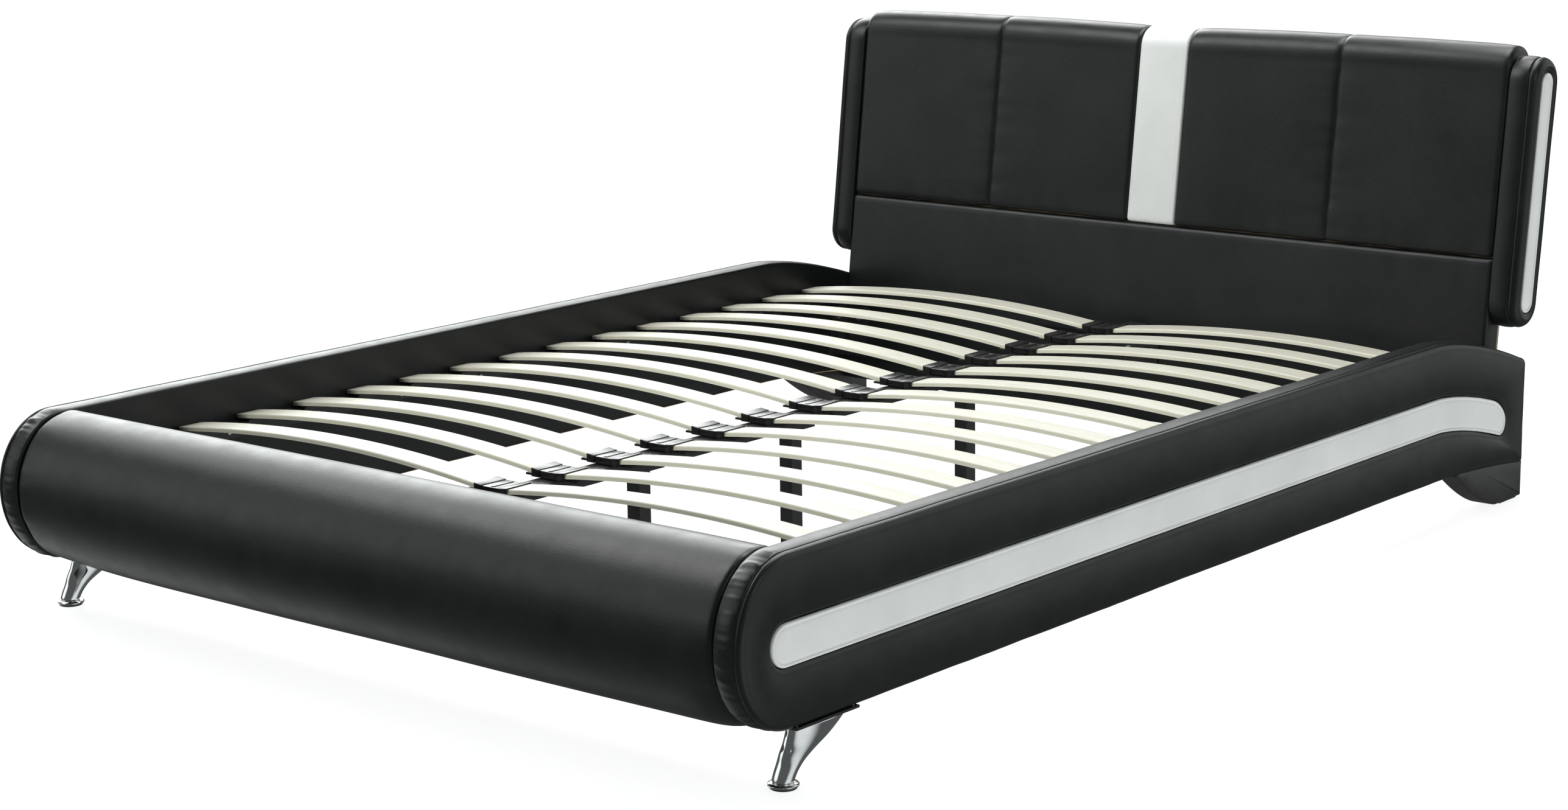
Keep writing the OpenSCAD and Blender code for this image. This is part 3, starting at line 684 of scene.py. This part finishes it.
def make_upper_pads():
    path, normals = upper_path()
    v = path[:, 1]
    face = np.clip((0.030 - path[:, 0]) / 0.02, 0, 1)
    rise = np.clip((v - SEAM_V) / (HEAD_RISE - SEAM_V), 0, 1)
    across = np.clip(4 * rise * (1 - rise), 0, 1) ** 0.4
    upwards = np.clip(normals[:, 1], 0, 1)

    def pad_swell(x):
        x = abs(x)
        inner = x - STRIP_HALF
        outer = HEAD_HALF - x
        seam = abs(x - PANEL_SEAM_X)
        first, last = (STRIP_HALF, PANEL_SEAM_X) if x < PANEL_SEAM_X else (PANEL_SEAM_X, HEAD_HALF)
        u = min(max((x - first) / (last - first), 0), 1)
        crown = PAD_FACE_CROWN * (4 * u * (1 - u)) ** 0.4 * across * face
        along = min(max((x - STRIP_HALF) / (HEAD_HALF - STRIP_HALF), 0), 1)
        crown = crown + PAD_TOP_CROWN * upwards * (4 * along * (1 - along)) ** 0.3
        valley = SEAM_DEPTH * math.exp(-((seam / 0.0045) ** 1.1))
        tug_seed = 2.0 if x < PANEL_SEAM_X else 6.0
        tug = noise_each((7.3, q * 38.0, tug_seed) for q in v)
        tug = 0.0016 * tug * math.exp(-seam / 0.030) * face
        hem = noise_each((x * 34.0, 3.1, 8.8) for q in v)
        hem = 0.0012 * hem * np.exp(-(v - SEAM_V) / 0.028) * face
        wave = noise_each((x * 7.0, q * 7.0, 4.4) for q in v) * 0.0009
        pull = edge_drop(inner, 0.009) + edge_drop(outer, 0.011)
        return crown + tug + hem + wave - valley - pull

    seam_fine = PANEL_SEAM_X + np.array([-0.012, -0.009, -0.0065, -0.0045, -0.003, -0.0018, -0.0008, 0,
                                         0.0008, 0.0018, 0.003, 0.0045, 0.0065, 0.009, 0.012])
    stations = spread(STRIP_HALF + 0.0008, HEAD_HALF - 0.0004, 0.010, edge_width=0.022)
    stations = stations[np.abs(stations - PANEL_SEAM_X) > 0.014]
    stations = np.sort(np.concatenate([stations, seam_fine]))
    for side, sign in (("right", 1), ("left", -1)):
        rings = section_rings(path, normals, sign * stations, pad_swell)
        obj = loft(f"headboard_upper_leather_{side}", to_world(rings), caps=True)
        node = f"headboard_upper_pad_{side}"
        dress(obj, BLACK_LEATHER, replaces=[node])

    def strip_swell(x):
        distance = STRIP_HALF - abs(x)
        border = 0.0012 * math.exp(-(((distance - 0.0065) / 0.0012) ** 2))
        return 0.0006 - border + STRIP_TOP_CROWN * upwards - edge_drop(distance, 0.005)

    stations = spread(-STRIP_HALF + 0.0006, STRIP_HALF - 0.0006, 0.008, edge_width=0.012, fine=0.0008)
    rings = section_rings(path, normals, stations, strip_swell)
    obj = loft("headboard_pale_strip", to_world(rings), caps=True)
    dress(obj, WHITE_LEATHER, replaces=["headboard_centre_strip"])


def make_lower_pad():
    top = SEAM_V - 0.002
    corners = [(0.0115, -0.268), (0.0115, -0.104), (0.0, -0.100),
               (0.0, top), (0.0515, top), (0.0515, -0.268)]
    path, normals = rounded_path(corners, [0.002, 0.0015, 0.0015, 0.010, 0.002, 0.002], 0.0075)
    v = path[:, 1]
    face = np.clip((0.010 - path[:, 0]) / 0.01, 0, 1) * np.clip((v + 0.09) / 0.03, 0, 1)

    def swell(x):
        distance = HEAD_HALF + 0.0012 - abs(x)
        wave = noise_each((x * 6.0, q * 8.0, 6.1) for q in v) * 0.0008
        hem = noise_each((x * 30.0, q * 5.0, 1.1) for q in v)
        hem = 0.0011 * hem * np.exp(-np.abs(top - v) / 0.030)
        crown = 0.0022 * np.clip(1 - ((v - 0.03) / 0.12) ** 2, 0, 1)
        ends = 1 - math.exp(-distance / 0.03)
        pull = edge_drop(distance, 0.007) * np.clip((v + 0.1) / 0.05, 0, 1)
        return face * (wave + hem + crown * ends) - pull

    stations = spread(-HEAD_HALF - 0.0012, HEAD_HALF + 0.0012, 0.012, edge_width=0.03)
    rings = section_rings(path, normals, stations, swell)
    obj = loft("headboard_lower_leather", to_world(rings), caps=True)
    dress(obj, BLACK_LEATHER, replaces=["headboard_lower_pad"])


# ---------- slats ----------
def make_slats():
    rows = sorted(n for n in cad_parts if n.startswith("slat_row_"))
    for row in rows:
        lo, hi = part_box(row)
        make_slat_row(row, lo, hi, SLAT_INNER_X, hi.x)


def make_slat_row(row, lo, hi, x0, x1):
    """Two bowed boards with eased edges, one on each side of the centre rail."""
    crown = hi.z - lo.z - SLAT_T
    span = x1 - x0
    radius = span * span / (8 * crown) + crown / 2
    half_angle = math.asin(span / 2 / radius)
    half_w = (hi.y - lo.y) / 2
    mid_y = (hi.y + lo.y) / 2
    section, _ = rounded_path([(-half_w, 0), (half_w, 0), (half_w, SLAT_T), (-half_w, SLAT_T)],
                              [0.0015, 0.0015, 0.0028, 0.0028], 0.006)
    verts, faces, ply = [], [], []
    for sign in (1, -1):
        start = len(verts)
        seed = int(row[-2:]) * 2 + (sign > 0)
        warp = 0.0012 * noise.noise(Vector((seed * 1.37, 0.2, 0.9)))
        angles = np.linspace(-half_angle, half_angle, 46)
        ends = [(angles[0], SLAT_END), *[(a, 1.0) for a in angles[1:-1]], (angles[-1], SLAT_END)]
        for k, (a, squeeze) in enumerate(ends):
            twist = warp * math.sin(math.pi * k / (len(ends) - 1))
            for across, up in section:
                r = radius + SLAT_T / 2 + (up - SLAT_T / 2) * squeeze
                x = (x0 + x1) / 2 + r * math.sin(a)
                z = lo.z + crown - radius + r * math.cos(a)
                verts.append((sign * x, mid_y + across * (0.985 if squeeze < 1 else 1.0), z + twist))
                ply.append(up / SLAT_T)
        faces += ring_faces(len(ends), len(section), start, caps=True)
    mesh = bpy.data.meshes.new(row + "_boards")
    mesh.from_pydata(verts, [], faces)
    attribute = mesh.attributes.new("ply", "FLOAT", "POINT")
    attribute.data.foreach_set("value", np.array(ply, np.float32))
    bm = bmesh.new()
    bm.from_mesh(mesh)
    bmesh.ops.recalc_face_normals(bm, faces=bm.faces)
    for face in bm.faces:
        face.smooth = len(face.verts) == 4
    bm.to_mesh(mesh)
    bm.free()
    obj = bpy.data.objects.new(row + "_boards", mesh)
    scene.collection.objects.link(obj)
    dress(obj, SLAT_WOOD, replaces=[row])


def join_parts(name, parts):
    """One object from several (verts, faces) parts."""
    verts, faces = [], []
    for part_verts, part_faces in parts:
        start = len(verts)
        verts += part_verts
        faces += [tuple(start + k for k in face) for face in part_faces]
    return finish_mesh(name, verts, faces, weld=False)


def eased_block(corners, ease):
    """Verts and faces of a block with eased edges; corners are its lower four and then its upper four."""
    bm = bmesh.new()
    points = [bm.verts.new(c) for c in corners]
    for quad in ((0, 3, 2, 1), (4, 5, 6, 7), (0, 1, 5, 4), (1, 2, 6, 5), (2, 3, 7, 6), (3, 0, 4, 7)):
        bm.faces.new([points[k] for k in quad])
    bmesh.ops.bevel(bm, geom=bm.edges[:], offset=ease, segments=2, profile=0.6, affect="EDGES")
    bm.verts.index_update()
    verts = [tuple(v.co) for v in bm.verts]
    faces = [tuple(v.index for v in face.verts) for face in bm.faces]
    bm.free()
    return verts, faces


def straight_block(lo, hi, ease):
    """An eased block from its lowest to its highest corner."""
    (x0, y0, z0), (x1, y1, z1) = lo, hi
    return eased_block([(x0, y0, z0), (x1, y0, z0), (x1, y1, z0), (x0, y1, z0),
                        (x0, y0, z1), (x1, y0, z1), (x1, y1, z1), (x0, y1, z1)], ease)


def sloped_block(sign, ys, low, high):
    """An eased block across a holder's lip; low and high are its heights at the inner and outer ends."""
    inner, outer = CLIP_LIP_X
    corners = []
    for z_in, z_out in (low, high):
        corners += [(inner, ys[0], z_in), (outer, ys[0], z_out), (outer, ys[1], z_out), (inner, ys[1], z_in)]
    return eased_block([(sign * x, y, z) for x, y, z in corners], 0.0004)


def make_clips():
    """Moulded double holders on the centre rail: base, divider, side walls and lips over the slat ends."""
    clip_lo, clip_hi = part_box("centre_slat_caps")
    for row in sorted(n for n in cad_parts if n.startswith("slat_row_")):
        lo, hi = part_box(row)
        y0, y1 = lo.y - 0.001, hi.y + 0.001
        base_z, slat_z, top_z = clip_lo.z, lo.z, clip_hi.z
        base = ((-0.058, lo.y + 0.006, base_z), (0.058, hi.y - 0.006, slat_z - 0.0002))
        divider = ((-0.022, y0, base_z + 0.001), (0.022, y1, top_z))
        ridge = ((-0.0035, y0 + 0.004, top_z - 0.001), (0.0035, y1 - 0.004, top_z + 0.0012))
        parts = [straight_block(*base, 0.0008), straight_block(*divider, 0.0012),
                 straight_block(*ridge, 0.0008)]
        z_in, z_out = top_z - 0.0002, top_z + 0.0018
        lip_low, lip_high = (z_in, z_out), (z_in + CLIP_LIP_T, z_out + CLIP_LIP_T)
        wall_low, wall_high = (base_z + 0.001, base_z + 0.001), (z_in + 0.001, z_out + 0.001)
        for sign in (-1, 1):
            parts.append(sloped_block(sign, (y0, y1), lip_low, lip_high))
            for wall_y in (y0 - 0.0012, y1 - 0.0004):
                parts.append(sloped_block(sign, (wall_y, wall_y + CLIP_WALL_T), wall_low, wall_high))
        obj = join_parts("centre_clip_" + row[-2:], parts)
        sharpen(obj, 50)
        dress(obj, BLACK_PLASTIC, replaces=["centre_slat_caps"])


def make_head_feet():
    """Swept block feet under the head end of each rail, with rounded edges."""
    foot_lo, foot_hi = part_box("head_foot_right")
    tuck = 0.006
    front_y, rear_y, base_z = foot_lo.y, foot_hi.y - 0.001, foot_lo.z
    t = np.linspace(0, 1, 26)
    y = front_y + FOOT_SWEEP * t
    top_front = RAIL_LOW - LOW_FALL * fall(y)
    sweep = np.stack([y, base_z + (top_front - base_z) * (1 - t) ** FOOT_POWER], 1)
    y = np.linspace(rear_y, front_y + 0.012, 24)
    top = np.stack([y, RAIL_LOW - LOW_FALL * fall(y) + tuck], 1)
    flat = np.stack([np.linspace(sweep[-1][0], rear_y - 0.003, 10)[1:], np.full(9, base_z)], 1)
    a = arc(-90, 0, 5)[1:]
    corner = np.stack([rear_y - 0.003 + 0.003 * np.cos(a), base_z + 0.003 + 0.003 * np.sin(a)], 1)
    back = np.stack([np.full(8, rear_y), np.linspace(base_z + 0.003, top[0][1], 9)[1:]], 1)
    path = np.concatenate([sweep, flat, corner, back, top[1:]])
    normals = path_normals(path)
    stations = spread(foot_lo.x, foot_hi.x, 0.008, edge_width=0.008, fine=0.0008)

    def swell(x):
        return np.full(len(path), -edge_drop(min(x - foot_lo.x, foot_hi.x - x), 0.004))

    rings = section_rings(path, normals, stations, swell)
    for side, turn in (("right", list), ("left", mirrored)):
        obj = loft(f"head_foot_block_{side}", turn(rings), caps=True)
        dress(obj, FOOT_PLASTIC, replaces=[f"head_foot_{side}"])


# ---------- chrome legs and glides ----------
LEG_SECTIONS = [  # height, middle along Y from the glide, half width, half length, in millimetres
    (9.6, -1, 15.5, 16), (11, -1, 16, 17), (22, 5, 16.2, 18.5), (34, 15, 17, 22), (41, 23, 17.5, 28),
    (48, 32, 18, 35), (60, 51, 19, 47), (73, 65, 20, 56), (81, 72, 21.2, 60), (86, 75, 22, 62)]


def make_legs():
    for side in ("left", "right"):
        lo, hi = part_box(f"leg_glide_{side}")
        cx, cy = (lo.x + hi.x) / 2, (lo.y + hi.y) / 2
        heights = np.array([s[0] for s in LEG_SECTIONS]) / 1000
        table = np.array(LEG_SECTIONS)[:, 1:] / 1000
        rings = []
        for z in np.linspace(heights[0], heights[-1], 34):
            mid, rx, ry = (smooth_value(heights, table[:, k], z) for k in range(3))
            a = arc(0, 360, 57)[:-1]
            x, y = cx + rx * np.cos(a), cy + mid + ry * np.sin(a)
            rings.append(np.column_stack([x, y, np.full(len(a), z)]))
        obj = loft(f"front_leg_chrome_{side}", rings, caps=True)
        dress(obj, CHROME, replaces=[f"front_leg_{side}"])
        body = f"leg_glide_{side}_body"
        r = (hi.x - lo.x) / 2
        cup = [(0.0, 0.0092), (r * 0.62, 0.0092), (r * 0.80, 0.0088), (r * 0.95, 0.0078), (r, 0.0064),
               (r * 0.99, 0.0048), (r * 0.955, 0.0036), (r * 0.90, 0.0030), (0.0, 0.0030)]
        obj = lathe(f"glide_cup_{side}", cup, cx, cy)
        dress(obj, CHROME, body=body, replaces=[f"leg_glide_{side}"])
        pad = [(0.0, 0.0030), (r * 0.86, 0.0030), (r * 0.88, 0.0022), (r * 0.87, 0.0008), (r * 0.83, 0.0),
               (0.0, 0.0)]
        obj = lathe(f"glide_pad_{side}", pad, cx, cy)
        dress(obj, BLACK_PLASTIC, body=body)
        stud = [(0.0, 0.027), (0.0035, 0.027), (0.004, 0.0262), (0.004, 0.0092), (0.0, 0.0092)]
        obj = lathe(f"glide_stud_{side}", stud, cx, cy)
        dress(obj, ZINC, body=body)


def smooth_value(xs, ys, x, width=6.0):
    """The sections' value at x, averaged over a few millimetres so that the profile has no kinks."""
    samples = x + np.linspace(-1, 1, 15) * width / 1000
    weights = 1 - np.abs(np.linspace(-1, 1, 15)) ** 2 * 0.95
    return float(np.sum(np.interp(samples, xs, ys) * weights) / np.sum(weights))


def lathe(name, profile, cx, cy, sides=56):
    a = arc(0, 360, sides + 1)[:-1]
    rings = []
    for r, z in profile:
        rings.append(np.column_stack([cx + r * np.cos(a), cy + r * np.sin(a), np.full(sides, z)]))
    obj = loft(name, rings)
    sharpen(obj, 40)
    return obj


def sharpen(obj, degrees):
    """Splits the shading at edges sharper than that angle."""
    bm = bmesh.new()
    bm.from_mesh(obj.data)
    for edge in bm.edges:
        if len(edge.link_faces) == 2 and edge.calc_face_angle(0) > math.radians(degrees):
            edge.smooth = False
    bm.to_mesh(obj.data)
    bm.free()


def make_centre_glides():
    for n in (1, 2, 3):
        lo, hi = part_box(f"centre_leg_glide_{n}")
        cx, cy, r = (lo.x + hi.x) / 2, (lo.y + hi.y) / 2, (hi.x - lo.x) / 2
        profile = [(0.0, 0.030), (0.0035, 0.030), (0.004, 0.0292), (0.004, 0.0082), (0.008, 0.0080),
                   (r * 0.9, 0.0078), (r, 0.0068), (r, 0.0016), (r * 0.95, 0.0004), (r * 0.90, 0.0),
                   (0.0, 0.0)]
        obj = lathe(f"centre_glide_{n}", profile, cx, cy, 40)
        dress(obj, BLACK_PLASTIC, body=f"centre_leg_glide_{n}_body",
              replaces=[f"centre_leg_glide_{n}"])


# ---------- carried-over CAD nodes ----------
LOOKS = {
    "black_leather": BLACK_LEATHER, "white_leather": WHITE_LEATHER, "board": BOARD, "slat_wood": SLAT_WOOD,
    "black_steel": BLACK_STEEL, "zinc_steel": ZINC, "chrome": CHROME, "black_plastic": BLACK_PLASTIC,
    "dust_cloth": LINING}


def dress_cad_nodes():
    """Every CAD node that still shows gets the look of its own slot."""
    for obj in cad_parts.values():
        for k, material in enumerate(obj.data.materials):
            obj.data.materials[k] = LOOKS[material.name.split(".")[0]]


# ---------- camera, light and floor ----------
CAMERA_PLACE = (3.50742, -4.29932, 1.43728)
CAMERA_TURN = (0.696967, 0.208021, -0.013768)
CAMERA_LENS = 72.55


def make_camera():
    yaw, pitch, roll = CAMERA_TURN
    forward = Vector((-math.sin(yaw) * math.cos(pitch), math.cos(yaw) * math.cos(pitch), -math.sin(pitch)))
    right = forward.cross(Vector((0, 0, 1))).normalized()
    up = right.cross(forward)
    level = right * math.cos(roll) + up * math.sin(roll)
    upright = up * math.cos(roll) - right * math.sin(roll)
    data = bpy.data.cameras.new("camera")
    data.sensor_width = 36.0
    data.lens = CAMERA_LENS
    camera = bpy.data.objects.new("camera", data)
    turn = Matrix((level, upright, -forward)).transposed().to_4x4()
    camera.matrix_world = Matrix.Translation(CAMERA_PLACE) @ turn
    scene.collection.objects.link(camera)
    scene.camera = camera


LOBES = [  # direction, cosines where it starts and is full, radiance, whether it stops at the horizon
    ((-0.80, 0.47, 0.38), 0.88, 1.00, 5.8, True),
    ((-0.70, -0.63, 0.33), 0.87, 1.00, 1.30, True),
    ((0.50, 0.82, 0.34), 0.76, 1.00, 0.85, False),
    ((0.95, 0.08, -0.30), 0.76, 0.98, 0.75, False),
    ((-0.86, 0.02, -0.52), 0.93, 1.00, 0.8, False)]
SOFTBOXES = [  # name, place, target, size, watts
    ("softbox_top_left", (-2.8, -1.8, 4.6), (0.0, 0.0, 0.2), (3.2, 2.6), 120.0),
    ("softbox_right", (4.4, -1.6, 2.8), (0.0, 0.2, 0.3), (2.2, 2.2), 22.0),
    ("softbox_above", (0.2, 1.3, 3.6), (0.0, 1.3, 0.2), (2.4, 1.6), 100.0),
    ("softbox_behind", (-2.2, 4.4, 3.6), (0.0, -0.6, 0.3), (3.6, 1.8), 85.0)]
DIM = 0.10
FLOOR_HALF = 40.0
BACKDROP_TOP = 60.0


def make_light():
    """A white studio: bright behind and to the left of the bed, dim on the camera's side."""
    world = bpy.data.worlds.new("studio")
    scene.world = world
    world.use_nodes = True
    tree = world.node_tree
    background = tree.nodes["Background"]
    place = tree.nodes.new("ShaderNodeTexCoord")
    height = add_node(tree, "ShaderNodeSeparateXYZ")
    tree.links.new(place.outputs["Generated"], height.inputs["Vector"])
    above = to_range(tree, height.outputs["Z"], 0.0, 1.0, (-0.16, 0.12))
    total = DIM
    for direction, start, full, radiance, stops in LOBES:
        facing = add_node(tree, "ShaderNodeVectorMath", operation="DOT_PRODUCT")
        facing.inputs[1].default_value = Vector(direction).normalized()
        tree.links.new(place.outputs["Generated"], facing.inputs[0])
        lobe = add_node(tree, "ShaderNodeMapRange", interpolation_type="SMOOTHSTEP")
        lobe.inputs["From Min"].default_value = start
        lobe.inputs["From Max"].default_value = full
        lobe.inputs["To Min"].default_value = 0.0
        lobe.inputs["To Max"].default_value = radiance
        tree.links.new(facing.outputs["Value"], lobe.inputs["Value"])
        glow = lobe.outputs["Result"]
        if stops:
            glow = combine(tree, "MULTIPLY", glow, above)
        total = combine(tree, "ADD", glow, total)
    tree.links.new(total, background.inputs["Strength"])
    background.inputs["Color"].default_value = (0.96, 1.0, 0.99, 1.0)
    for name, place, target, size, power in SOFTBOXES:
        data = bpy.data.lights.new(name, "AREA")
        data.shape = "RECTANGLE"
        data.size, data.size_y = size
        data.energy = power
        lamp = bpy.data.objects.new(name, data)
        lamp.location = place
        lamp.visible_camera = False
        lamp.rotation_euler = (Vector(target) - Vector(place)).to_track_quat("-Z", "Y").to_euler()
        scene.collection.objects.link(lamp)


def glowing(name, base, strength):
    """A matt pale surface with a little light of its own."""
    material, _, shader = new_material(name)
    shader.inputs["Base Color"].default_value = (base, base, base, 1.0)
    shader.inputs["Roughness"].default_value = 0.8
    shader.inputs["Specular IOR Level"].default_value = 0.1
    shader.inputs["Emission Color"].default_value = (0.99, 1.0, 0.995, 1.0)
    shader.inputs["Emission Strength"].default_value = strength
    return material


def add_stage(name, verts, faces, material):
    mesh = bpy.data.meshes.new(name)
    mesh.from_pydata(verts, [], faces)
    mesh.materials.append(material)
    obj = bpy.data.objects.new(name, mesh)
    obj.visible_glossy = False
    scene.collection.objects.link(obj)
    return obj


def make_floor():
    """A pale floor, and a far white backdrop round it that only the camera sees."""
    half = FLOOR_HALF
    corners = [(-half, -half, 0), (half, -half, 0), (half, half, 0), (-half, half, 0)]
    add_stage("floor", corners, [(0, 1, 2, 3)], glowing("floor_look", 0.26, 0.88))
    angles = np.radians(np.arange(0, 360, 15))
    wall = [(half * math.cos(a), half * math.sin(a), z) for z in (-0.01, BACKDROP_TOP) for a in angles]
    count = len(angles)
    faces = [(k, (k + 1) % count, count + (k + 1) % count, count + k) for k in range(count)]
    backdrop = add_stage("backdrop", wall, faces, glowing("backdrop_look", 0.0, 1.05))
    backdrop.visible_diffuse = False
    backdrop.visible_transmission = False
    backdrop.visible_shadow = False


make_camera()
make_side_rails()
make_wings()
make_roll()
make_upper_pads()
make_lower_pad()
make_slats()
make_clips()
make_head_feet()
make_legs()
make_centre_glides()
dress_cad_nodes()
make_light()
make_floor()
scene.view_settings.view_transform = "Standard"
